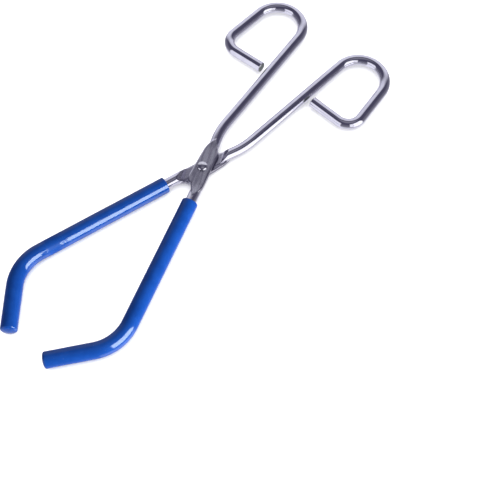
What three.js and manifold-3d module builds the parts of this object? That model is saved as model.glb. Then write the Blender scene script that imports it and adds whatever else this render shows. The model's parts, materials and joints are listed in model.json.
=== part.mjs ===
// Crucible tongs with cushioned jaws, 260 mm long, lying open on their side.
//
// Two identical bent steel rods cross at a riveted half-lap joint. Each rod runs from a hooked jaw,
// through a forged pad that takes the rivet, up a straight shank and round into a finger loop.
// A closed-end plastic sleeve covers each jaw. The upper lever is the lower one turned over.
//
// Millimetres, +Z up, +Y from the jaws to the finger loops. The origin is the middle of the base of the
// bounding box, so the sleeves touch the plane Z = 0. Each piece is built in the pivot's own frame first:
// origin on the rivet's axis, halfway through the joint.

import * as THREE from "three";
import { mergeVertices } from "three/addons/utils/BufferGeometryUtils.js";
import Module from "manifold-3d";

// ---- Driving dimensions -------------------------------------------------------------------------

const ROD_RADIUS = 3; // 6 mm chrome-plated steel rod
const SLEEVE_RADIUS = 4.5; // 9 mm sleeve over it
const SLEEVE_FIT = 0.15; // bore over rod, on the radius
const SLEEVE_END_WALL = 1.5; // closed end past the end of the rod
const SLEEVE_END_ROUND = 1.3; // rounding of the closed end's rim
const SLEEVE_START = 22.4; // from the pivot to the sleeve's open end

// Centreline of the lower lever: the lines that its straights lie on meet at these points.
const JAW_TIP = new THREE.Vector2(-12, -135.9);
const JAW_ELBOW = new THREE.Vector2(-36, -105.6);
const LOWER_KNEE = new THREE.Vector2(-4, -5.7);
const UPPER_KNEE = new THREE.Vector2(8.7, 25);
const ELBOW_BEND = 24; // bend radii at those points
const LOWER_KNEE_BEND = 20;
const UPPER_KNEE_BEND = 42;

// The finger loop: a bow, a straight side, a tight corner and a stub that stops short of the shank.
const BOW_CENTRE = new THREE.Vector2(30.1, 102.4);
const BOW_RADIUS = 14.7;
const BOW_TURN = THREE.MathUtils.degToRad(170.4);
const SIDE_LENGTH = 31.4; // from the bow's end to where side and stub would meet
const CORNER_BEND = 8.6;
const CORNER_TURN = THREE.MathUtils.degToRad(97.3);
const STUB_LENGTH = 28.8; // from where side and stub would meet to the cut end

// The forged pad and the half-lap joint.
const PAD_FACE = 2.5; // outer face of each pad, from the middle of the joint
const LAP_GAP = 0.15; // mating face of each pad, from the middle of the joint
const PAD_EDGE = 0.4; // rounding of the pad's edges
const LAP_HALF_WIDTH = 8.4; // from the pivot to the foot of each shoulder
const LAP_ANGLE = THREE.MathUtils.degToRad(26.8); // the shoulders lean this far from +Y, across the pad
const SHOULDER_SLOPE = THREE.MathUtils.degToRad(42);
const PRESS_FLAT = 13; // along the pad, the outer face is level this far from the pivot
const PRESS_RUN = 9; // and meets the rod's crest this much further on
const PAD_AXIS = THREE.MathUtils.degToRad(22.5); // the pad leans this far from +Y, towards its handle

// The rivet.
const SHANK_RADIUS = 1.75;
const HOLE_RADIUS = 1.85;
const HEAD_RADIUS = 2.9;
const HEAD_HEIGHT = 1.5;
const TAIL_RADIUS = 2.6;
const TAIL_HEIGHT = 0.9;
const HEAD_CLEARANCE = 0.15;

// How finely round shapes are cut into flats.
const ROD_SIDES = 24;
const RIVET_SIDES = 28;
const BEND_STEP = THREE.MathUtils.degToRad(7);

// ---- Solids -------------------------------------------------------------------------------------

const wasm = await Module();
wasm.setup();

/** A closed three.js geometry as a manifold-3d solid. */
function solidFrom(geometry) {
  const bare = geometry.clone();
  bare.deleteAttribute("normal");
  bare.deleteAttribute("uv");
  const merged = mergeVertices(bare, 1e-4);
  return new wasm.Manifold(
    new wasm.Mesh({
      numProp: 3,
      vertProperties: new Float32Array(merged.attributes.position.array),
      triVerts: new Uint32Array(merged.index.array),
    }),
  );
}

/** A manifold-3d solid as a three.js geometry. */
function geometryFrom(solid) {
  const mesh = solid.getMesh();
  const geometry = new THREE.BufferGeometry();
  geometry.setAttribute("position", new THREE.BufferAttribute(mesh.vertProperties, 3));
  geometry.setIndex(new THREE.BufferAttribute(mesh.triVerts, 1));
  geometry.computeVertexNormals();
  return geometry;
}

// ---- Paths --------------------------------------------------------------------------------------

/** A flat curve through stations that carry their own tangents: two to a straight, several to a bend. */
class StationPath extends THREE.Curve {
  constructor(stations) {
    super();
    this.stations = stations;
  }

  getUtoTmapping(u) {
    return u; // each step of an extrusion lands on a station
  }

  at(t) {
    return this.stations[Math.round(t * (this.stations.length - 1))];
  }

  getPoint(t) {
    const { point } = this.at(t);
    return new THREE.Vector3(point.x, point.y, 0);
  }

  getTangent(t) {
    const { heading } = this.at(t);
    return new THREE.Vector3(heading.x, heading.y, 0);
  }
}

const station = (point, heading) => ({ point: point.clone(), heading: heading.clone() });

const turned = (vector, angle) => vector.clone().rotateAround(new THREE.Vector2(), angle);

/** Stations along an arc that starts at a point with a heading, turning left for a positive angle. */
function bendStations(start, heading, radius, turn) {
  const toCentre = turned(heading, (Math.sign(turn) * Math.PI) / 2).multiplyScalar(radius);
  const centre = start.clone().add(toCentre);
  const steps = Math.max(2, Math.ceil(Math.abs(turn) / BEND_STEP));
  return Array.from({ length: steps + 1 }, (_, i) => {
    const angle = (turn * i) / steps;
    return station(centre.clone().sub(turned(toCentre, angle)), turned(heading, angle));
  });
}

/** Stations of the bend that rounds the corner between three points. */
function cornerStations(before, corner, after, radius) {
  const inward = corner.clone().sub(before).normalize();
  const outward = after.clone().sub(corner).normalize();
  const turn = Math.atan2(inward.cross(outward), inward.dot(outward));
  const start = corner.clone().addScaledVector(inward, -radius * Math.tan(Math.abs(turn) / 2));
  return bendStations(start, inward, radius, turn);
}

const TIP_HEADING = JAW_ELBOW.clone().sub(JAW_TIP).normalize(); // from the jaw's tip to its elbow
const ARM_HEADING = LOWER_KNEE.clone().sub(JAW_ELBOW).normalize(); // from the elbow towards the pivot

/** The shank's heading: the line from the upper knee that touches the bow, with the bow on its right. */
function shankHeading() {
  const toBow = BOW_CENTRE.clone().sub(UPPER_KNEE);
  return turned(toBow.clone().normalize(), Math.asin(BOW_RADIUS / toBow.length()));
}

/** The rod's stations, from a point on the jaw's end to the cut end of the finger loop. */
function rodStations(rodEnd) {
  const shank = shankHeading();
  const bowStart = BOW_CENTRE.clone().addScaledVector(turned(shank, Math.PI / 2), BOW_RADIUS);
  const bow = bendStations(bowStart, shank, BOW_RADIUS, -BOW_TURN);
  const side = bow.at(-1);
  const corner = side.point.clone().addScaledVector(side.heading, SIDE_LENGTH);
  const cutEnd = corner.clone().addScaledVector(turned(side.heading, -CORNER_TURN), STUB_LENGTH);
  const loopCorner = cornerStations(side.point, corner, cutEnd, CORNER_BEND);
  return [
    station(rodEnd, TIP_HEADING),
    ...cornerStations(JAW_TIP, JAW_ELBOW, LOWER_KNEE, ELBOW_BEND),
    ...cornerStations(JAW_ELBOW, LOWER_KNEE, UPPER_KNEE, LOWER_KNEE_BEND),
    ...cornerStations(LOWER_KNEE, UPPER_KNEE, bowStart, UPPER_KNEE_BEND),
    ...bow,
    ...loopCorner,
    station(cutEnd, loopCorner.at(-1).heading),
  ];
}

/** The jaw's stations, from one end near its tip to another at a distance from the pivot. */
function jawStations(end, pivotDistance) {
  const fromKnee = LOWER_KNEE.length() - pivotDistance;
  const open = LOWER_KNEE.clone().addScaledVector(ARM_HEADING, fromKnee);
  return [
    station(end, TIP_HEADING),
    ...cornerStations(JAW_TIP, JAW_ELBOW, LOWER_KNEE, ELBOW_BEND),
    station(open, ARM_HEADING),
  ];
}

/** A round bar along stations. */
function bar(stations, radius) {
  const section = new THREE.Shape();
  for (let i = 0; i < ROD_SIDES; i++) {
    const angle = (2 * Math.PI * i) / ROD_SIDES;
    const corner = [radius * Math.cos(angle), radius * Math.sin(angle)];
    if (i === 0) section.moveTo(...corner);
    else section.lineTo(...corner);
  }
  const path = new StationPath(stations);
  const options = { steps: stations.length - 1, extrudePath: path, bevelEnabled: false };
  return solidFrom(new THREE.ExtrudeGeometry(section, options));
}

// ---- The lever ----------------------------------------------------------------------------------

/** The forged pad's outline at the middle of its thickness, in the pivot's frame. */
function padOutline() {
  const outline = new THREE.Shape();
  outline.moveTo(-7.5, -17.5); // nose inside the jaw arm
  outline.quadraticCurveTo(-9.5, -13.5, -8.4, -9);
  outline.lineTo(-4, 4.3);
  outline.lineTo(-2.6, 8.4);
  outline.quadraticCurveTo(-2.2, 11.9, -0.3, 13);
  outline.lineTo(5.7, 18.6); // nose inside the handle arm
  outline.quadraticCurveTo(8, 15, 7, 9.6);
  outline.lineTo(5.7, 4.4);
  outline.lineTo(1.6, -8.4);
  outline.quadraticCurveTo(0.4, -11.5, -2, -12);
  outline.closePath();
  return outline;
}

/** The pad itself, from its outer face up to its mating face, with rounded edges. */
function pad() {
  const thickness = PAD_FACE - LAP_GAP;
  const geometry = new THREE.ExtrudeGeometry(padOutline(), {
    depth: thickness - 2 * PAD_EDGE,
    bevelThickness: PAD_EDGE,
    bevelSize: PAD_EDGE,
    bevelOffset: -PAD_EDGE,
    bevelSegments: 2,
    curveSegments: 4,
  });
  return solidFrom(geometry.translate(0, 0, PAD_EDGE - PAD_FACE));
}

/** A prism with a flat profile in X and Z, long in Y, turned about Z and set on the pivot. */
function prism(profile, length, angle) {
  const shape = new THREE.Shape(profile.map(([x, z]) => new THREE.Vector2(x, z)));
  const geometry = new THREE.ExtrudeGeometry(shape, { depth: length, bevelEnabled: false });
  geometry.translate(0, 0, -length / 2).rotateX(Math.PI / 2).rotateZ(angle);
  return solidFrom(geometry);
}

const INSIDE = 0.02; // a cut stops this far inside the pad, so that the pad's own face is what shows

/** The half-lap: all of the rod above the mating face, between two sloping shoulders. */
function lapCut() {
  const top = ROD_RADIUS + 2;
  const foot = -LAP_GAP - INSIDE;
  const lean = (top - foot) / Math.tan(SHOULDER_SLOPE);
  const half = LAP_HALF_WIDTH;
  const profile = [
    [-half, foot],
    [half, foot],
    [half + lean, top],
    [-half - lean, top],
  ];
  return prism(profile, 60, LAP_ANGLE);
}

/** The shallow press mark: the rod's crest below the outer face, running out along the rod. */
function pressCut() {
  const face = -PAD_FACE + INSIDE;
  const slope = (ROD_RADIUS - PAD_FACE) / PRESS_RUN;
  const over = PRESS_RUN * 1.5;
  const end = PRESS_FLAT + over;
  const bottom = face - slope * over;
  const profile = [
    [-end, bottom],
    [end, bottom],
    [PRESS_FLAT, face],
    [-PRESS_FLAT, face],
  ];
  return prism(profile, 40, Math.PI / 2 - PAD_AXIS);
}

function rivetHole() {
  const geometry = new THREE.CylinderGeometry(HOLE_RADIUS, HOLE_RADIUS, 20, RIVET_SIDES);
  return solidFrom(geometry.rotateX(Math.PI / 2));
}

function leverGeometry() {
  const rodEnd = JAW_TIP.clone().addScaledVector(TIP_HEADING, SLEEVE_END_WALL + SLEEVE_FIT);
  const rod = bar(rodStations(rodEnd), ROD_RADIUS);
  const forged = rod.subtract(lapCut()).subtract(pressCut()).add(pad());
  return geometryFrom(forged.subtract(rivetHole()));
}

// ---- The sleeve ---------------------------------------------------------------------------------

const RIM_CLEAR = 0.05; // the rim's cutter starts this far outside the sleeve's side

/** What is cut away to round the rim of the sleeve's closed end. */
function rimCut() {
  const round = SLEEVE_END_ROUND;
  const past = 1; // how far the cutter reaches past the sleeve's side and end
  const profile = [
    new THREE.Vector2(SLEEVE_RADIUS + past, -past),
    new THREE.Vector2(SLEEVE_RADIUS + past, round + past),
    new THREE.Vector2(SLEEVE_RADIUS + RIM_CLEAR, round + past),
    new THREE.Vector2(SLEEVE_RADIUS + RIM_CLEAR, round),
  ];
  const arcSteps = 4;
  for (let i = 1; i <= arcSteps; i++) {
    const angle = (Math.PI / 2) * (i / arcSteps);
    const radius = SLEEVE_RADIUS - round + round * Math.cos(angle);
    profile.push(new THREE.Vector2(radius, round * (1 - Math.sin(angle))));
  }
  profile.push(new THREE.Vector2(SLEEVE_RADIUS - round - RIM_CLEAR, -past), profile[0].clone());
  const geometry = new THREE.LatheGeometry(profile, ROD_SIDES);
  geometry.rotateZ(Math.atan2(-TIP_HEADING.x, TIP_HEADING.y));
  return solidFrom(geometry.translate(JAW_TIP.x, JAW_TIP.y, 0));
}

function sleeveGeometry() {
  const boreEnd = JAW_TIP.clone().addScaledVector(TIP_HEADING, SLEEVE_END_WALL);
  const outside = bar(jawStations(JAW_TIP, SLEEVE_START), SLEEVE_RADIUS);
  const bore = bar(jawStations(boreEnd, SLEEVE_START - 3), ROD_RADIUS + SLEEVE_FIT);
  return geometryFrom(outside.subtract(rimCut()).subtract(bore));
}

// ---- The rivet ----------------------------------------------------------------------------------

/** One end of the rivet: points from the shank out to the rim and up a dome to its flat middle. */
function domeProfile(base, radius, height, flat) {
  const steps = 6;
  const points = [new THREE.Vector2(SHANK_RADIUS, base), new THREE.Vector2(radius, base)];
  for (let i = 1; i <= steps; i++) {
    const angle = (Math.PI / 2) * (i / steps);
    const across = flat + (radius - flat) * Math.cos(angle);
    points.push(new THREE.Vector2(across, base + height * Math.sin(angle)));
  }
  points.push(new THREE.Vector2(0, base + height));
  return points;
}

function rivetGeometry() {
  const base = PAD_FACE + HEAD_CLEARANCE;
  const head = domeProfile(base, HEAD_RADIUS, HEAD_HEIGHT, 0.6);
  const tail = domeProfile(base, TAIL_RADIUS, TAIL_HEIGHT, 1.7);
  const profile = [...tail.map((p) => new THREE.Vector2(p.x, -p.y)).reverse(), ...head];
  return new THREE.LatheGeometry(profile, RIVET_SIDES).rotateX(Math.PI / 2);
}

// ---- Assembly -----------------------------------------------------------------------------------

const chrome = new THREE.MeshStandardMaterial({ color: 0xc9c8d6, roughness: 0.12, metalness: 1 });
const steel = new THREE.MeshStandardMaterial({ color: 0xb8b8c0, roughness: 0.25, metalness: 1 });
const vinyl = new THREE.MeshStandardMaterial({ color: 0x1747b4, roughness: 0.25, metalness: 0 });

function piece(name, geometry, material) {
  const mesh = new THREE.Mesh(geometry, material);
  mesh.name = name;
  return mesh;
}

const lever = leverGeometry();
const sleeve = sleeveGeometry();

const lower = new THREE.Group();
lower.add(piece("lower_lever", lever, chrome));
lower.add(piece("left_jaw_sleeve", sleeve, vinyl));
lower.add(piece("pivot_rivet", rivetGeometry(), steel));

const upper = new THREE.Group();
upper.add(piece("upper_lever", lever, chrome));
upper.add(piece("right_jaw_sleeve", sleeve, vinyl));
upper.rotation.y = Math.PI; // the same lever, turned over

const joint = new THREE.Group();
joint.add(lower, upper);
const tongs = new THREE.Group();
tongs.add(joint);

const reach = new THREE.Box3().setFromObject(joint);
joint.position.set(0, -(reach.min.y + reach.max.y) / 2, SLEEVE_RADIUS);

export default tongs;
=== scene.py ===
"""Crucible tongs on a white studio table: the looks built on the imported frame.

The levers, the sleeves and the rivet are rebuilt as fine surfaces on the same centreline and sizes as the
frame, in millimetres from the pivot, and are turned into metres in the row frame when they become meshes.
"""

import json
import math

import bmesh
import bpy
import numpy as np
from mathutils import Matrix, Vector


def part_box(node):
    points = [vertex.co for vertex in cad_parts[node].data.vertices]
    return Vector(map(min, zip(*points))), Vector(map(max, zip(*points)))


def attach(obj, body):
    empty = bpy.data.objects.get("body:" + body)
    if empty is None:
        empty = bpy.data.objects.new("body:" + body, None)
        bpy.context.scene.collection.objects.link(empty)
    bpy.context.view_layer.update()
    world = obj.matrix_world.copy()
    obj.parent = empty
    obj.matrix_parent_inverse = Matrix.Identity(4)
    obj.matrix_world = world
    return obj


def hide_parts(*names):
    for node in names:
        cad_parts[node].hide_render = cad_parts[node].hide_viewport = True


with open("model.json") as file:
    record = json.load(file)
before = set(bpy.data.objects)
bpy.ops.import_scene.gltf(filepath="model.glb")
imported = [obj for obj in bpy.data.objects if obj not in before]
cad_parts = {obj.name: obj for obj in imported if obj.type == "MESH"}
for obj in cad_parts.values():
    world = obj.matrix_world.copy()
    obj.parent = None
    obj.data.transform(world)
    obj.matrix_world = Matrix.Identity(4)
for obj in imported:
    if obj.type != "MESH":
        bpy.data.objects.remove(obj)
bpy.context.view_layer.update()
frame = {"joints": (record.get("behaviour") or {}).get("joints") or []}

# ---- Sizes, in millimetres from the pivot -------------------------------------------------------

PIVOT = Vector(frame["joints"][0]["pos_m"])
ROD_RADIUS = 500 * (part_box("lower_lever")[1].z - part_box("lower_lever")[0].z)
SLEEVE_RADIUS = 500 * (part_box("left_jaw_sleeve")[1].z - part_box("left_jaw_sleeve")[0].z)

# The lower lever's centreline, as the frame has it: corners of its straights, and its bend radii.
JAW_TIP, JAW_ELBOW = np.array([-12, -135.9]), np.array([-36, -105.6])
LOWER_KNEE, UPPER_KNEE = np.array([-4, -5.7]), np.array([8.7, 25])
ELBOW_BEND, LOWER_KNEE_BEND, UPPER_KNEE_BEND = 24, 20, 42
BOW_CENTRE, BOW_RADIUS, BOW_TURN = np.array([30.1, 102.4]), 14.7, math.radians(170.4)
SIDE_LENGTH, CORNER_BEND, CORNER_TURN, STUB_LENGTH = 31.4, 8.6, math.radians(97.3), 28.8
SLEEVE_START = 22.4
SLEEVE_END_WALL, SLEEVE_END_ROUND, SLEEVE_END_DOME, SLEEVE_FIT = 1.5, 1.35, 0.45, 0.15

# The forged pad, the half-lap and the rivet. The pad's lower edge stands a little proud of the frame's.
PAD_FACE, LAP_GAP = 2.5, 0.15
LAP_HALF_WIDTH, LAP_ANGLE, SHOULDER_SLOPE = 8.4, math.radians(26.8), math.tan(math.radians(42))
PRESS_FLAT, PRESS_RUN, PAD_AXIS = 13, 9, math.radians(22.5)
HOLE_RADIUS = 1.85
HEAD_RADIUS, HEAD_HEIGHT, TAIL_RADIUS, TAIL_HEIGHT, HEAD_CLEARANCE = 2.9, 1.5, 2.6, 0.9, 0.15
SHANK_RADIUS = 1.75
RUBBED = (53.0, 60.3)  # a dulled band on the left sleeve, as distances from its tip


# ---- Centrelines --------------------------------------------------------------------------------


def turned(vector, angle):
    c, s = math.cos(angle), math.sin(angle)
    return np.array([c * vector[0] - s * vector[1], s * vector[0] + c * vector[1]])


def unit(vector):
    return vector / np.linalg.norm(vector)


def bend(start, heading, radius, turn, step=math.radians(2.2)):
    """Points and headings along an arc, turning left for a positive angle."""
    to_centre = turned(heading, math.copysign(math.pi / 2, turn)) * radius
    count = max(3, math.ceil(abs(turn) / step))
    angles = [turn * i / count for i in range(count + 1)]
    return [(start + to_centre - turned(to_centre, a), turned(heading, a)) for a in angles]


def corner(before, at, after, radius):
    inward, outward = unit(at - before), unit(after - at)
    turn = math.atan2(inward[0] * outward[1] - inward[1] * outward[0], inward @ outward)
    return bend(at - inward * radius * math.tan(abs(turn) / 2), inward, radius, turn)


def lever_line():
    """The lower lever's centreline from the end of the rod in the jaw to the cut end of the loop."""
    to_bow = BOW_CENTRE - UPPER_KNEE
    shank = turned(unit(to_bow), math.asin(BOW_RADIUS / np.linalg.norm(to_bow)))
    bow_start = BOW_CENTRE + turned(shank, math.pi / 2) * BOW_RADIUS
    bow = bend(bow_start, shank, BOW_RADIUS, -BOW_TURN)
    side, heading = bow[-1]
    at = side + heading * SIDE_LENGTH
    stub = turned(heading, -CORNER_TURN)
    end = at + stub * STUB_LENGTH
    tip_heading = unit(JAW_ELBOW - JAW_TIP)
    return (
        [(JAW_TIP + tip_heading * (SLEEVE_END_WALL + SLEEVE_FIT), tip_heading)]
        + corner(JAW_TIP, JAW_ELBOW, LOWER_KNEE, ELBOW_BEND)
        + corner(JAW_ELBOW, LOWER_KNEE, UPPER_KNEE, LOWER_KNEE_BEND)
        + corner(LOWER_KNEE, UPPER_KNEE, bow_start, UPPER_KNEE_BEND)
        + bow
        + corner(side, at, end, CORNER_BEND)
        + [(end, stub)]
    )


def sleeve_line():
    """The jaw's centreline from the outside of the sleeve's closed end to its open end."""
    arm = unit(LOWER_KNEE - JAW_ELBOW)
    opening = LOWER_KNEE + arm * (np.linalg.norm(LOWER_KNEE) - SLEEVE_START)
    tip_heading = unit(JAW_ELBOW - JAW_TIP)
    return [(JAW_TIP, tip_heading)] + corner(JAW_TIP, JAW_ELBOW, LOWER_KNEE, ELBOW_BEND) + [(opening, arm)]


def resampled(line, spacing):
    """Stations no further apart than spacing(point): arrays of points, headings and lengths."""
    points, headings = [line[0][0]], [line[0][1]]
    for (p, h), (q, g) in zip(line, line[1:]):
        length = np.linalg.norm(q - p)
        if length < 1e-6:
            continue
        steps = max(1, math.ceil(length / min(spacing(p), spacing(q), spacing((p + q) / 2))))
        for i in range(1, steps + 1):
            t = i / steps
            points.append(p + (q - p) * t)
            headings.append(unit(h + (g - h) * t))
    points, headings = np.array(points), np.array(headings)
    lengths = np.concatenate([[0], np.cumsum(np.linalg.norm(np.diff(points, axis=0), axis=1))])
    return points, headings, lengths


# ---- The lever's shape, as a signed distance ----------------------------------------------------


def smooth_max(a, b, blend):
    h = np.clip(0.5 + 0.5 * (a - b) / blend, 0, 1)
    return b + (a - b) * h + blend * h * (1 - h)


def smooth_min(a, b, blend):
    return -smooth_max(-a, -b, blend)


def curve(start, control, end, steps=8):
    t = np.linspace(0, 1, steps + 1)[1:, None]
    return (1 - t) ** 2 * np.array(start) + 2 * t * (1 - t) * np.array(control) + t**2 * np.array(end)


def pad_outline():
    """The pad's outline, from the nose inside the jaw arm round by the handle arm and back."""
    jaw_nose, handle_nose = (-7.5, -17.5), (5.7, 18.6)
    runs = [
        [jaw_nose],
        curve(jaw_nose, (-9.5, -13.5), (-8.4, -9)),
        [(-4, 4.3), (-2.6, 8.4)],
        curve((-2.6, 8.4), (-2.2, 11.9), (-0.3, 13)),
        [handle_nose],
        curve(handle_nose, (8, 15), (7, 9.6)),
        [(5.8, 4.4), (2.3, -8.4)],
        curve((2.3, -8.4), (1.1, -12), (-1.9, -12.1)),
    ]
    return np.concatenate([np.array(run, float) for run in runs])


def outline_distance(outline, x, y):
    """Signed distance from points to a closed outline, negative inside."""
    nearest = np.full(x.shape, 1e9)
    inside = np.zeros(x.shape, bool)
    for (ax, ay), (bx, by) in zip(outline, np.roll(outline, -1, axis=0)):
        ex, ey = bx - ax, by - ay
        t = np.clip(((x - ax) * ex + (y - ay) * ey) / (ex * ex + ey * ey), 0, 1)
        nearest = np.minimum(nearest, np.hypot(x - ax - t * ex, y - ay - t * ey))
        crosses = (ay > y) != (by > y)
        inside ^= crosses & (x < ax + (y - ay) * ex / (ey if ey else 1e-9))
    return np.where(inside, -nearest, nearest)


def line_distance(line, x, y):
    """Distance in plan from points to a run of centreline."""
    nearest = np.full(x.shape, 1e9)
    for (p, _), (q, _) in zip(line, line[1:]):
        ex, ey = q - p
        t = np.clip(((x - p[0]) * ex + (y - p[1]) * ey) / max(ex * ex + ey * ey, 1e-12), 0, 1)
        nearest = np.minimum(nearest, np.hypot(x - p[0] - t * ex, y - p[1] - t * ey))
    return nearest


def lever_distance(x, y, z, line, outline):
    """Signed distance to the lever's skin, and to each of the shapes that make it up by themselves."""
    rod = np.hypot(line_distance(line, x, y), z) - ROD_RADIUS
    side = outline_distance(outline, x, y)
    lap_side = np.abs(x * math.cos(LAP_ANGLE) + y * math.sin(LAP_ANGLE)) - LAP_HALF_WIDTH
    lap = (z + LAP_GAP - SHOULDER_SLOPE * smooth_max(lap_side, 0 * lap_side, 0.1)) * 0.8
    along = np.abs(x * math.sin(PAD_AXIS) + y * math.cos(PAD_AXIS)) - PRESS_FLAT
    drop = (ROD_RADIUS - PAD_FACE) / PRESS_RUN
    press = -z - PAD_FACE - drop * smooth_max(along, 0 * along, 2.0)
    slab = smooth_max(smooth_min(rod, side, 0.6), z + LAP_GAP, 0.3)
    round_part = smooth_max(rod, lap, 0.4)
    upper = np.maximum(lap, np.where(side < 0.2, -np.abs(z + LAP_GAP), -1))
    masks = {"rod": rod, "press": press, "upper": upper, "side": side}
    return smooth_max(smooth_min(slab, round_part, 0.1), press, 0.7), masks


AROUND = 112
PROBE = 12  # sections are looked for this far to either side
SKEW_START, SKEW_RUN = 30, 11  # towards the pivot, sections turn to lie along the shoulders
PAD_START, PAD_RUN = 19, 5  # and drop to the middle of the pad
WORKED_REACH = 36  # beyond this the lever is plain rod
OUTERMOST = 11  # no skin lies further than this from a section's middle


def lever_surface():
    """Rings of points on the lever's skin, with masks of its pressed and other worked faces, and of its side
    walls, which the chrome paints darker as painted shade.

    Near the pivot the sections lie along the half-lap's shoulders, so that no shoulder crosses a ring.
    """

    def spacing(p):
        reach = np.linalg.norm(p)
        return 0.3 if reach < 20 else 0.7 if reach < 31 else 6

    points, headings, lengths = resampled(lever_line(), spacing)
    line = lever_line()
    reach = np.linalg.norm(points, axis=1)
    left = np.stack([-headings[:, 1], headings[:, 0]], 1)
    shoulder = np.array([-math.sin(LAP_ANGLE), math.cos(LAP_ANGLE)])
    skew = np.clip((SKEW_START - reach) / SKEW_RUN, 0, 1)[:, None]
    skew = skew * skew * (3 - 2 * skew)
    across = left * (1 - skew) + shoulder * skew
    across /= np.linalg.norm(across, axis=1)[:, None]
    pad = np.clip((PAD_START - reach) / PAD_RUN, 0, 1)
    pad = pad * pad * (3 - 2 * pad)
    outline = pad_outline()

    # How far each section reaches to either side in plan, and so where its middle is.
    probe = np.arange(-PROBE, PROBE + 0.05, 0.1)
    px = points[:, 0, None] + across[:, 0, None] * probe
    py = points[:, 1, None] + across[:, 1, None] * probe
    inside = np.minimum(line_distance(line, px, py) - ROD_RADIUS, outline_distance(outline, px, py)) < 0
    centre = len(probe) // 2
    right = np.array([probe[centre - int(np.argmin(row[centre::-1])) + 1] for row in inside])
    far_left = np.array([probe[centre + int(np.argmin(row[centre:])) - 1] for row in inside])
    near_pivot = np.clip((32 - reach) / 4, 0, 1)
    shift = (far_left + right) / 2 * near_pivot
    half = np.where(near_pivot > 0, (far_left - right) / 2, ROD_RADIUS)
    half, shift = eased(half, 5), eased(shift, 5)
    height = -(PAD_FACE + LAP_GAP) / 2 * pad
    wide = half / (ROD_RADIUS - (ROD_RADIUS - 1.2) * pad)
    angle = np.arange(AROUND) * 2 * math.pi / AROUND
    ray_side = np.cos(angle)[None, :] * wide[:, None]
    ray_up = np.sin(angle)[None, :] * np.ones_like(wide)[:, None]
    size = np.hypot(ray_side, ray_up)
    ray_side, ray_up = ray_side / size, ray_up / size

    def at(t, rows):
        offset = shift[rows, None] + ray_side[rows] * t
        x = points[rows, 0, None] + across[rows, 0, None] * offset
        y = points[rows, 1, None] + across[rows, 1, None] * offset
        return x, y, height[rows, None] + ray_up[rows] * t

    everywhere = np.arange(len(points))
    worked = everywhere[reach < WORKED_REACH]
    reached = np.full_like(ray_up, float(ROD_RADIUS))
    near, far = np.zeros((len(worked), AROUND)), np.full((len(worked), AROUND), float(OUTERMOST))
    close = [i for i, (p, _) in enumerate(line) if np.linalg.norm(p) < 60]
    by_pivot = line[close[0] - 1 : close[-1] + 2]
    for _ in range(20):
        middle = (near + far) / 2
        outside = lever_distance(*at(middle, worked), by_pivot, outline)[0] > 0
        far = np.where(outside, middle, far)
        near = np.where(outside, near, middle)
    reached[worked] = (near + far) / 2
    x, y, z = at(reached, everywhere)
    masks = {name: np.zeros_like(x) for name in ("pressed", "formed", "shaded_wall")}
    parts = lever_distance(x[worked], y[worked], z[worked], by_pivot, outline)[1]
    masks["pressed"][worked] = np.clip((parts["press"] + 0.06) / 0.05, 0, 1)
    worked_face = np.maximum((np.abs(parts["rod"]) - 0.04) / 0.1, (parts["upper"] + 0.12) / 0.05)
    masks["formed"][worked] = np.clip(worked_face, 0, 1)
    # The pad's side walls below the lap: the chrome paints these darker, as painted shade between the arms.
    wall = np.clip((0.25 - np.abs(parts["side"])) / 0.1, 0, 1) * np.clip((parts["rod"] - 0.05) / 0.2, 0, 1)
    wall *= np.clip((-parts["press"] - 0.25) / 0.2, 0, 1) * np.clip((-z[worked] - LAP_GAP - 0.1) / 0.1, 0, 1)
    masks["shaded_wall"][worked] = wall
    return np.stack([x, y, z], 2), masks, lengths


def eased(values, width):
    """A running mean, to keep neighbouring sections alike."""
    padded = np.concatenate([[values[0]] * width, values, [values[-1]] * width])
    return np.convolve(padded, np.ones(2 * width + 1) / (2 * width + 1), "valid")


# ---- Meshes -------------------------------------------------------------------------------------


def in_row_frame(points, flipped):
    """Millimetres from the pivot to metres in the row frame. A flipped piece is turned over about Y."""
    points = np.asarray(points, float).reshape(-1, 3)
    if flipped:
        points = points * np.array([-1, 1, -1])
    return points * 0.001 + np.array(PIVOT)


def ring_mesh(name, rings, flipped=False, floats=None, vectors=None, sharp=30):
    """A mesh through closed rings of points. A ring of one repeated point closes the surface there."""
    count, around = rings.shape[:2]
    index = np.arange(count * around).reshape(count, around)
    faces = []
    for a, b in zip(index, index[1:]):
        for i in range(around):
            j = (i + 1) % around
            faces.append((a[i], a[j], b[j], b[i]))
    mesh = bpy.data.meshes.new(name)
    mesh.from_pydata(in_row_frame(rings, flipped).tolist(), [], [tuple(map(int, f)) for f in faces])
    for key, values in (floats or {}).items():
        attribute = mesh.attributes.new(key, "FLOAT", "POINT")
        attribute.data.foreach_set("value", np.asarray(values, np.float32).ravel())
    for key, values in (vectors or {}).items():
        attribute = mesh.attributes.new(key, "FLOAT_VECTOR", "POINT")
        attribute.data.foreach_set("vector", np.asarray(values, np.float32).ravel())
    tidy(mesh, sharp)
    thing = bpy.data.objects.new(name, mesh)
    bpy.context.scene.collection.objects.link(thing)
    return thing


def tidy(mesh, sharp):
    """Merges closed-up rings, turns every face outwards and shades smooth except at sharp edges."""
    work = bmesh.new()
    work.from_mesh(mesh)
    bmesh.ops.remove_doubles(work, verts=work.verts, dist=1e-8)
    bmesh.ops.dissolve_degenerate(work, edges=work.edges, dist=1e-9)
    bmesh.ops.recalc_face_normals(work, faces=work.faces)
    for face in work.faces:
        face.smooth = True
    work.to_mesh(mesh)
    work.free()
    mesh.set_sharp_from_angle(angle=math.radians(sharp))


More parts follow.
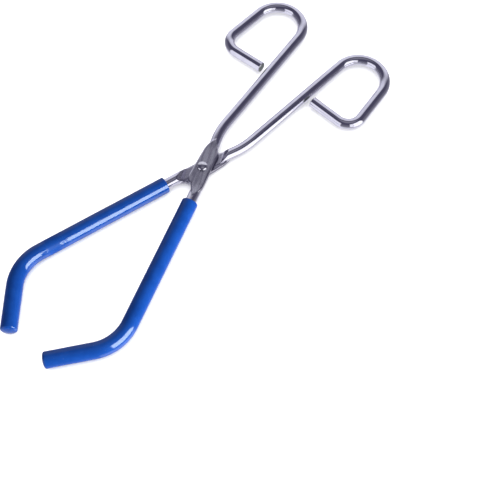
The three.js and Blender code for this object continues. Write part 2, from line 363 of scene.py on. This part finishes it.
def rod_space(lengths, around, radius):
    """Coordinates that follow a rod without a seam: along it, and round a circle across it."""
    angle = np.arange(around) * 2 * math.pi / around
    circle = np.stack([np.cos(angle), np.sin(angle)], 1) * radius
    along = np.repeat(np.asarray(lengths)[:, None], around, 1)
    side, up = (np.tile(circle[:, i], (len(lengths), 1)) for i in (0, 1))
    return np.stack([along, side, up], 2)


def collapsed(ring, factor, shift=0.0, heading=None):
    """A ring shrunk towards its middle, and moved along a heading."""
    middle = ring.mean(0)
    moved = middle + (ring - middle) * factor
    return moved + (np.array([*heading, 0]) * shift if heading is not None else 0)


def with_ends(rings, values, heading_start, heading_end, chamfer=0.35):
    """Closes a tube with chamfered flat ends. Returns rings, per-point values and the cut-face mask."""
    first, last = rings[0], rings[-1]
    inset = 1 - chamfer / ROD_RADIUS
    head = [
        collapsed(first, 0),
        collapsed(first, 0.5),
        collapsed(first, inset),
        collapsed(first, inset),
        collapsed(first, 1, chamfer, heading_start),
    ]
    foot = [
        collapsed(last, 1, -chamfer, heading_end),
        collapsed(last, inset),
        collapsed(last, inset),
        collapsed(last, 0.5),
        collapsed(last, 0),
    ]
    rings = np.concatenate([np.array(head), rings[1:-1], np.array(foot)])
    values = [np.concatenate([np.repeat(v[:1], 5, 0), v[1:-1], np.repeat(v[-1:], 5, 0)]) for v in values]
    cut = np.zeros(rings.shape[:2])
    cut[:4] = 1
    cut[-4:] = 1
    return rings, values, cut


def cut_hole(thing, radius):
    """Drills the rivet's hole through a lever."""
    bpy.ops.mesh.primitive_cylinder_add(vertices=64, radius=radius * 0.001, depth=0.02, location=PIVOT)
    drill = bpy.context.object
    modifier = thing.modifiers.new("hole", "BOOLEAN")
    modifier.operation, modifier.object, modifier.solver = "DIFFERENCE", drill, "EXACT"
    drilled = bpy.data.meshes.new_from_object(thing.evaluated_get(bpy.context.evaluated_depsgraph_get()))
    thing.modifiers.clear()
    thing.data = drilled
    bpy.data.objects.remove(drill)
    drilled.set_sharp_from_angle(angle=math.radians(30))


def build_lever(name, body, node, flipped):
    rings, masks, lengths = lever_surface()
    space = rod_space(lengths, AROUND, ROD_RADIUS)
    line = lever_line()
    rings, (space, *floats), cut = with_ends(rings, [space, *masks.values()], line[0][1], line[-1][1])
    floats = {**dict(zip(masks, floats)), "cut": cut}
    turn_x, turn_y = turned((1, 0), PAD_AXIS), turned((0, 1), PAD_AXIS)
    across_pad = rings[..., :2] @ [turn_x[0], turn_y[0]]
    along_pad = rings[..., :2] @ [turn_x[1], turn_y[1]]
    pad = np.stack([across_pad, along_pad, rings[..., 2]], 2)
    thing = ring_mesh(name, rings, flipped, floats, {"rod": space, "pad": pad})
    cut_hole(thing, HOLE_RADIUS)
    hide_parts(node)
    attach(thing, body)
    return thing


def sweep(points, headings, radii, around):
    left = np.stack([-headings[:, 1], headings[:, 0], 0 * headings[:, 0]], 1)
    flat = np.concatenate([points, np.zeros((len(points), 1))], 1)
    angle = np.arange(around) * 2 * math.pi / around
    out = left[:, None, :] * np.cos(angle)[None, :, None]
    out = out + np.array([0, 0, 1.0]) * np.sin(angle)[None, :, None]
    return flat[:, None, :] + out * np.asarray(radii).reshape(len(points), -1, 1)


def build_sleeve(name, body, node, flipped):
    """A closed-end sleeve: slightly domed end with a rounded rim, a soft lip, and a bore to the rod's end."""
    around = 72
    points, headings, lengths = resampled(sleeve_line(), lambda p: 1.5)
    tip, tip_heading = points[0], headings[0]
    open_end, arm = points[-1], headings[-1]
    profile = []  # (distance along, radius) over the closed end
    flat = SLEEVE_RADIUS - SLEEVE_END_ROUND
    for i in range(1, 9):
        profile.append((SLEEVE_END_DOME * (i / 8) ** 2, flat * i / 8))
    steepest = math.atan(2 * SLEEVE_END_DOME / flat)
    for i in range(1, 15):
        a = steepest + (math.pi / 2 - steepest) * i / 14
        back = SLEEVE_END_ROUND * (math.cos(steepest) - math.cos(a))
        out = SLEEVE_END_ROUND * (math.sin(a) - math.sin(steepest)) / (1 - math.sin(steepest))
        profile.append((SLEEVE_END_DOME + back, flat + out))
    first = profile[-1][0]
    keep = (lengths > first + 0.3) & (lengths < lengths[-1] - 0.5)
    stations = [(tip, tip_heading, 0.0, 0.0)]
    stations += [(tip + tip_heading * d, tip_heading, r, d) for d, r in profile]
    slack = 0.02 + 0.02 * np.sin(lengths * 0.21) * np.sin(lengths * 0.077 + 1)
    stations += [
        (p, h, SLEEVE_RADIUS - s, d)
        for p, h, s, d, k in zip(points, headings, slack, lengths, keep)
        if k
    ]
    lip, bore = 0.3, ROD_RADIUS + SLEEVE_FIT
    for i in range(5):
        a = math.pi / 2 * i / 4
        back = lip * (1 - math.sin(a))
        radius = SLEEVE_RADIUS - lip + lip * math.cos(a)
        stations.append((open_end - arm * back, arm, radius, lengths[-1] - back))
    stations.append((open_end, arm, bore + 0.12, lengths[-1]))
    stations.append((open_end - arm * 0.12, arm, bore, lengths[-1]))
    for depth in (1.0, 3.0):
        stations.append((open_end - arm * depth, arm, bore, lengths[-1] - depth))
    inner_end = JAW_TIP + tip_heading * SLEEVE_END_WALL
    inner = [(p, h, bore, d) for p, h, d in zip(points, headings, lengths)]
    inner = [s for s in inner if SLEEVE_END_WALL + 1 < s[3] < lengths[-1] - 4][::-1]
    stations += inner
    stations.append((inner_end, tip_heading, bore, SLEEVE_END_WALL))
    stations.append((inner_end, tip_heading, 0.0, SLEEVE_END_WALL))
    ps = np.array([s[0] for s in stations])
    hs = np.array([s[1] for s in stations])
    rings = sweep(ps, hs, [s[2] for s in stations], around)
    space = rod_space([s[3] for s in stations], around, SLEEVE_RADIUS)
    marked = np.full(rings.shape[:2], 0.0 if flipped else 1.0)
    thing = ring_mesh(name, rings, flipped, {"marked": marked}, {"rod": space}, sharp=50)
    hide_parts(node)
    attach(thing, body)
    return thing


def dome(base, radius, height, flat, edge):
    """Half of the rivet's profile: out along the underside, round the rim and over the dome."""
    points = [(SHANK_RADIUS, base), (radius - edge, base)]
    for i in range(1, 7):
        a = math.pi / 2 * i / 6
        points.append((radius - edge + edge * math.sin(a), base + edge * (1 - math.cos(a))))
    steps = 20
    for i in range(1, steps + 1):
        a = math.pi / 2 * i / steps
        across = flat + (radius - flat) * math.cos(a)
        points.append((across, base + edge + (height - edge) * math.sin(a)))
    points += [(flat * 0.5, base + height), (0.0, base + height)]
    return points


def build_rivet():
    base = PAD_FACE + HEAD_CLEARANCE
    head = dome(base, HEAD_RADIUS, HEAD_HEIGHT, 0.35, 0.18)
    tail = [(r, -z) for r, z in dome(base, TAIL_RADIUS, TAIL_HEIGHT, 1.5, 0.15)][::-1]
    around = 96
    angle = np.arange(around) * 2 * math.pi / around
    profile = tail + head
    rings = np.array([[(r * math.cos(a), r * math.sin(a), z) for a in angle] for r, z in profile])
    thing = ring_mesh("rivet", rings, False, None, None, sharp=60)
    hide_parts("pivot_rivet")
    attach(thing, "lower_arm")
    return thing


# ---- Materials ----------------------------------------------------------------------------------


class Nodes:
    """Short-hand for building a node tree."""

    def __init__(self, tree):
        self.tree = tree
        tree.nodes.clear()

    def add(self, kind, inputs=None, **settings):
        node = self.tree.nodes.new(kind)
        for key, value in settings.items():
            setattr(node, key, value)
        for key, value in (inputs or {}).items():
            if isinstance(value, bpy.types.NodeSocket):
                self.tree.links.new(value, node.inputs[key])
            else:
                node.inputs[key].default_value = value
        return node

    def math(self, operation, a, b=0.0, clamp=False):
        node = self.add("ShaderNodeMath", {0: a, 1: b}, operation=operation, use_clamp=clamp)
        return node.outputs[0]

    def smooth(self, value, low, high, out_low=0.0, out_high=1.0):
        inputs = {"Value": value, "From Min": low, "From Max": high, "To Min": out_low, "To Max": out_high}
        return self.add("ShaderNodeMapRange", inputs, interpolation_type="SMOOTHSTEP").outputs[0]

    def mix(self, factor, a, b):
        node = self.add("ShaderNodeMix", {"Factor": factor}, data_type="RGBA")
        for socket, value in ((node.inputs[6], a), (node.inputs[7], b)):
            if isinstance(value, bpy.types.NodeSocket):
                self.tree.links.new(value, socket)
            else:
                socket.default_value = (*value, 1)
        return node.outputs[2]

    def blend(self, factor, a, b):
        return self.add("ShaderNodeMix", {"Factor": factor, "A": a, "B": b}).outputs[0]

    def noise(self, vector, scale, detail=3.0, roughness=0.5):
        inputs = {"Vector": vector, "Scale": scale, "Detail": detail, "Roughness": roughness}
        return self.add("ShaderNodeTexNoise", inputs).outputs["Fac"]

    def stretch(self, vector, scale):
        return self.add("ShaderNodeMapping", {"Vector": vector, "Scale": scale}).outputs[0]

    def bump(self, height, strength, distance, normal=None):
        inputs = {"Height": height, "Strength": strength, "Distance": distance}
        if normal is not None:
            inputs["Normal"] = normal
        return self.add("ShaderNodeBump", inputs).outputs[0]

    def attribute(self, name):
        return self.add("ShaderNodeAttribute", attribute_name=name)


def material(name, finish):
    made = bpy.data.materials.new(name)
    made.use_nodes = True
    nodes = Nodes(made.node_tree)
    surface = nodes.add("ShaderNodeBsdfPrincipled")
    output = nodes.add("ShaderNodeOutputMaterial")
    made.node_tree.links.new(surface.outputs[0], output.inputs[0])
    for key, value in finish(nodes).items():
        if isinstance(value, bpy.types.NodeSocket):
            made.node_tree.links.new(value, surface.inputs[key])
        else:
            surface.inputs[key].default_value = value
    return made


def chrome_finish(nodes):
    """Bright chrome on drawn rod, satin where the pad was pressed, bare where the rod was cut."""
    rod = nodes.attribute("rod").outputs["Vector"]
    pressed = nodes.attribute("pressed").outputs["Fac"]
    formed = nodes.attribute("formed").outputs["Fac"]
    shaded_wall = nodes.attribute("shaded_wall").outputs["Fac"]
    cut = nodes.attribute("cut").outputs["Fac"]
    drawn = nodes.noise(nodes.stretch(rod, (0.05, 1, 1)), 2.6, 4)
    cloud = nodes.noise(rod, 0.22, 3)
    pad = nodes.attribute("pad").outputs["Vector"]
    grain = nodes.noise(nodes.stretch(pad, (1.5, 0.12, 1)), 1.0, 4, 0.6)
    streaks = nodes.noise(nodes.stretch(pad, (0.75, 0.07, 0.5)), 1.0, 2)
    blotch = nodes.noise(nodes.stretch(pad, (0.5, 0.22, 0.4)), 1.0, 3)
    scuffs = nodes.smooth(nodes.noise(nodes.stretch(pad, (1.3, 0.2, 0.5)), 1.0, 2), 0.66, 0.74)
    bright = nodes.mix(nodes.smooth(cloud, 0.35, 0.65), (0.70, 0.692, 0.79), (0.755, 0.75, 0.84))
    worn = nodes.mix(nodes.smooth(grain, 0.4, 0.7), (0.76, 0.75, 0.82), (0.58, 0.57, 0.66))
    satin = nodes.mix(nodes.smooth(streaks, 0.38, 0.62), (0.40, 0.39, 0.465), (0.69, 0.69, 0.75))
    pale = nodes.math("MULTIPLY", nodes.smooth(blotch, 0.4, 0.65), 0.35)
    satin = nodes.mix(pale, satin, (0.62, 0.61, 0.66))
    satin = nodes.mix(nodes.math("MULTIPLY", nodes.smooth(grain, 0.45, 0.7), 0.45), satin, (0.33, 0.32, 0.40))
    satin = nodes.mix(nodes.math("MULTIPLY", scuffs, 0.6), satin, (0.86, 0.86, 0.9))
    sawn = nodes.mix(nodes.smooth(blotch, 0.3, 0.7), (0.19, 0.21, 0.2), (0.34, 0.36, 0.34))
    colour = nodes.mix(formed, bright, worn)
    # Painted shade: the pad's side walls get a dark grey-violet colour, with grain, for the shade that falls
    # between the arms.
    colour = nodes.mix(shaded_wall, colour, nodes.mix(grain, (0.20, 0.19, 0.25), (0.42, 0.41, 0.48)))
    colour = nodes.mix(pressed, colour, satin)
    colour = nodes.mix(cut, colour, sawn)
    rough_rod = nodes.smooth(drawn, 0.3, 0.7, 0.05, 0.1)
    rough_pad = nodes.smooth(grain, 0.35, 0.65, 0.24, 0.34)
    rough = nodes.blend(formed, rough_rod, 0.13)
    rough = nodes.blend(shaded_wall, rough, 0.3)
    rough = nodes.blend(pressed, rough, rough_pad)
    rough = nodes.blend(cut, rough, 0.5)
    normal = nodes.bump(drawn, 0.12, 0.00002)
    hammered = nodes.math("MULTIPLY", nodes.math("ADD", blotch, nodes.math("MULTIPLY", grain, 0.3)), pressed)
    normal = nodes.bump(hammered, 0.45, 0.00006, normal)
    return {"Base Color": colour, "Metallic": 1.0, "Roughness": rough, "Normal": normal}


def rivet_finish(nodes):
    """A headed and plated rivet: faint turned rings and a few tool marks."""
    place = nodes.add("ShaderNodeTexCoord").outputs["Object"]
    centred = nodes.add("ShaderNodeVectorMath", {0: place, 1: PIVOT}, operation="SUBTRACT").outputs[0]
    split = nodes.add("ShaderNodeSeparateXYZ", {0: centred})
    across, along = nodes.math("POWER", split.outputs[0], 2.0), nodes.math("POWER", split.outputs[1], 2.0)
    radius = nodes.math("SQRT", nodes.math("ADD", across, along))
    rings = nodes.math("SINE", nodes.math("MULTIPLY", radius, 26000.0))
    marks = nodes.noise(place, 900, 3)
    colour = nodes.mix(nodes.smooth(marks, 0.4, 0.65), (0.80, 0.80, 0.85), (0.66, 0.66, 0.71))
    rough = nodes.smooth(marks, 0.35, 0.7, 0.05, 0.13)
    normal = nodes.bump(rings, 0.04, 0.000006)
    normal = nodes.bump(marks, 0.2, 0.00003, normal)
    return {"Base Color": colour, "Metallic": 1.0, "Roughness": rough, "Normal": normal}


def vinyl_finish(nodes):
    """Glossy dipped PVC: deep blue with faint mottling, a slow ripple and fine orange peel.

    The left sleeve has a short rubbed band, where the gloss is gone and flecks of it are left.
    """
    rod = nodes.attribute("rod").outputs["Vector"]
    marked = nodes.attribute("marked").outputs["Fac"]
    place = nodes.add("ShaderNodeTexCoord").outputs["Object"]
    along = nodes.add("ShaderNodeSeparateXYZ", {0: rod}).outputs[0]
    mottle = nodes.noise(rod, 0.16, 4)
    ripple = nodes.noise(nodes.stretch(rod, (0.35, 1, 1)), 0.22, 2)
    peel = nodes.noise(place, 1500, 2)
    specks = nodes.smooth(nodes.noise(place, 1900, 1), 0.74, 0.78)
    flecks = nodes.smooth(nodes.noise(nodes.stretch(rod, (1.5, 0.7, 0.7)), 1.0, 2), 0.5, 0.56)
    start, end = RUBBED
    past_start = nodes.smooth(along, start - 1, start + 1)
    before_end = nodes.smooth(along, end + 0.8, end - 0.8)
    band = nodes.math("MULTIPLY", past_start, before_end)
    before_fade = nodes.smooth(along, end + 5, end + 3)
    past_end = nodes.smooth(along, end - 0.8, end + 0.5)
    edge = nodes.math("MULTIPLY", before_fade, past_end)
    rubbed = nodes.math("ADD", band, nodes.math("MULTIPLY", edge, flecks), clamp=True)
    rubbed = nodes.math("MULTIPLY", rubbed, marked)
    colour = nodes.mix(nodes.smooth(mottle, 0.3, 0.7), (0.0050, 0.046, 0.245), (0.0070, 0.056, 0.285))
    colour = nodes.mix(nodes.math("MULTIPLY", specks, 0.25), colour, (0.14, 0.2, 0.42))
    colour = nodes.mix(nodes.math("MULTIPLY", rubbed, 0.35), colour, (0.009, 0.062, 0.30))
    rough = nodes.smooth(mottle, 0.3, 0.7, 0.05, 0.09)
    rough = nodes.blend(rubbed, rough, 0.4)
    gloss = nodes.blend(rubbed, 0.28, 0.06)
    normal = nodes.bump(ripple, 0.15, 0.0004)
    normal = nodes.bump(peel, 0.06, 0.00003, normal)
    return {
        "Base Color": colour,
        "Roughness": rough,
        "Normal": normal,
        "IOR": 1.54,
        "Specular IOR Level": gloss,
        "Specular Tint": (0.8, 0.95, 1.0, 1.0),
    }


def floor_finish(nodes):
    place = nodes.add("ShaderNodeTexCoord").outputs["Object"]
    fibre = nodes.noise(place, 60, 5)
    colour = nodes.mix(fibre, (0.86, 0.86, 0.865), (0.9, 0.9, 0.905))
    return {"Base Color": colour, "Roughness": 0.8, "Specular IOR Level": 0.2}


# ---- Studio -------------------------------------------------------------------------------------

CAMERA_TURN, CAMERA_TILT, CAMERA_ROLL = map(math.radians, (39.06, 27.22, 0.73))
CAMERA_PLACE = Vector((0.21307, -0.22040, 0.49741))  # from the pivot
CAMERA_LENS, SENSOR_WIDTH = 76.6, 36


def build_camera():
    data = bpy.data.cameras.new("camera")
    data.lens, data.sensor_width = CAMERA_LENS, SENSOR_WIDTH
    camera = bpy.data.objects.new("camera", data)
    turn = Matrix.Rotation(CAMERA_TURN, 4, "Z")
    tilt = Matrix.Rotation(CAMERA_TILT, 4, "X")
    roll = Matrix.Rotation(CAMERA_ROLL, 4, "Z")
    camera.matrix_world = Matrix.Translation(PIVOT + CAMERA_PLACE) @ turn @ tilt @ roll
    bpy.context.scene.collection.objects.link(camera)
    bpy.context.scene.camera = camera


def direction(azimuth, polar):
    a, p = math.radians(azimuth), math.radians(polar)
    return Vector((math.cos(a) * math.sin(p), math.sin(a) * math.sin(p), math.cos(p)))


def build_world():
    """A dim room with two white cards, paler below the horizon where the table fills the reflections."""
    world = bpy.data.worlds.new("studio")
    bpy.context.scene.world = world
    world.use_nodes = True
    nodes = Nodes(world.node_tree)
    facing = nodes.add("ShaderNodeTexCoord").outputs["Generated"]

    def towards(azimuth, polar):
        inputs = {0: facing, 1: direction(azimuth, polar)}
        return nodes.add("ShaderNodeVectorMath", inputs, operation="DOT_PRODUCT").outputs["Value"]

    def patch(azimuth, polar, radius, soft):
        low, high = math.cos(math.radians(radius + soft)), math.cos(math.radians(radius - soft))
        return nodes.smooth(towards(azimuth, polar), low, high)

    def card(azimuth, half_width, top, soft):
        """An upright card: how far a direction lies inside its sides and below its top edge."""
        ahead = nodes.math("MAXIMUM", towards(azimuth, 90), 0.001)
        aside = nodes.math("ABSOLUTE", nodes.math("DIVIDE", towards(azimuth + 90, 90), ahead))
        above = nodes.math("DIVIDE", towards(0, 0), ahead)
        wide, high = math.tan(math.radians(half_width)), math.tan(math.radians(90 - top))
        inside = nodes.smooth(aside, wide + soft, wide - soft)
        return nodes.math("MULTIPLY", inside, nodes.smooth(above, high + soft, high - soft))

    up = towards(0, 0)
    room = nodes.mix(nodes.smooth(up, 0.05, 0.75), (0.185, 0.18, 0.225), (0.08, 0.075, 0.12))
    room = nodes.mix(patch(30, 5, 15, 12), room, (0.235, 0.23, 0.28))
    table = nodes.mix(nodes.smooth(up, -0.4, -0.75), (0.36, 0.355, 0.40), (0.80, 0.795, 0.86))
    room = nodes.mix(nodes.smooth(up, 0.0, -0.5), room, table)
    room = nodes.mix(patch(127, 80, 45, 8), room, (0.78, 0.775, 0.86))
    room = nodes.mix(card(255, 21, 49, 0.07), room, (0.98, 0.975, 1.05))
    seen = nodes.add("ShaderNodeLightPath").outputs["Is Camera Ray"]
    colour = nodes.mix(seen, room, (1.0, 1.0, 1.0))
    light = nodes.add("ShaderNodeBackground", {"Color": colour, "Strength": 1.0})
    output = nodes.add("ShaderNodeOutputWorld")
    world.node_tree.links.new(light.outputs[0], output.inputs[0])


# Panels stand on the +X side, in metres from the pivot. The shine stands just ahead of the glow.
PANEL_REACH, SHINE_REACH = 0.9, 0.88
WINDOW_ON_PLASTIC = (-0.28, 0.44), (0, 1.0)
TABLE_SIZE, TABLE_LIGHT_HEIGHT, TABLE_LIGHT_SIZE, TABLE_LIGHT_POWER = 3, 1.8, (6.0, 6.0), 300


def area_light(name, place, target, size, power):
    data = bpy.data.lights.new(name, "AREA")
    data.shape, data.size, data.size_y = "RECTANGLE", size[0], size[1]
    data.energy = power
    lamp = bpy.data.objects.new(name, data)
    lamp.location = place
    lamp.rotation_euler = (Vector(place) - Vector(target)).to_track_quat("Z", "Y").to_euler()
    bpy.context.scene.collection.objects.link(lamp)
    return lamp


def panel(name, sides, heights, radiance, reach=PANEL_REACH):
    """An upright glowing panel on the +X side. Its sides are distances along Y, its heights along Z."""
    low, high = sides
    foot, top = heights
    place = PIVOT + Vector((reach, (low + high) / 2, (foot + top) / 2))
    size = (high - low, top - foot)
    return area_light(name, place, place - Vector((1, 0, 0)), size, radiance * math.pi * size[0] * size[1])


def only_on(lamp, things):
    """Lets a lamp light only these objects."""
    lit = bpy.data.collections.new(lamp.name + "_lit")
    for thing in things:
        lit.objects.link(thing)
    lamp.light_linking.receiver_collection = lit


def build_floor():
    bpy.ops.mesh.primitive_plane_add(size=TABLE_SIZE, location=(0, 0, 0))
    floor = bpy.context.object
    floor.name = "floor"
    floor.visible_glossy = False
    floor.data.materials.append(material("table", floor_finish))
    return floor


def main():
    pieces = [
        build_lever("lever_lower", "lower_arm", "lower_lever", False),
        build_lever("lever_upper", "upper_arm", "upper_lever", True),
        build_sleeve("sleeve_left", "lower_arm", "left_jaw_sleeve", False),
        build_sleeve("sleeve_right", "upper_arm", "right_jaw_sleeve", True),
        build_rivet(),
    ]
    chrome = material("chrome", chrome_finish)
    vinyl = material("vinyl", vinyl_finish)
    steel = material("rivet_steel", rivet_finish)
    for piece, finish in zip(pieces, (chrome, chrome, vinyl, vinyl, steel)):
        piece.data.materials.clear()
        piece.data.materials.append(finish)

    floor = build_floor()
    build_camera()
    build_world()
    metal, plastic = [pieces[0], pieces[1], pieces[4]], pieces[2:4]
    sides, heights = WINDOW_ON_PLASTIC
    glow = panel("window_light_on_plastic", sides, heights, 11.8)
    shine = panel("window_shine_on_plastic", sides, heights, 20, SHINE_REACH)
    below = panel("table_shine_on_plastic", (-0.7, 0.5), (-1.3, -0.25), 2.0)
    for lamp in (glow, shine, below):
        only_on(lamp, plastic)
    glow.visible_glossy = False
    shine.visible_diffuse = below.visible_diffuse = False
    only_on(panel("window_on_metal", (-0.25, 0.43), (-0.45, 1.0), 1.28), metal)
    only_on(panel("card_beside_window", (-0.64, -0.26), (-0.3, 1.0), 0.95), metal)
    above = (0, 0, TABLE_LIGHT_HEIGHT)
    table_light = area_light("table_light", above, (0, 0, 0), TABLE_LIGHT_SIZE, TABLE_LIGHT_POWER)
    table_light.visible_glossy = False
    only_on(table_light, [floor])
    view = bpy.context.scene.view_settings
    view.view_transform = "Standard"


main()
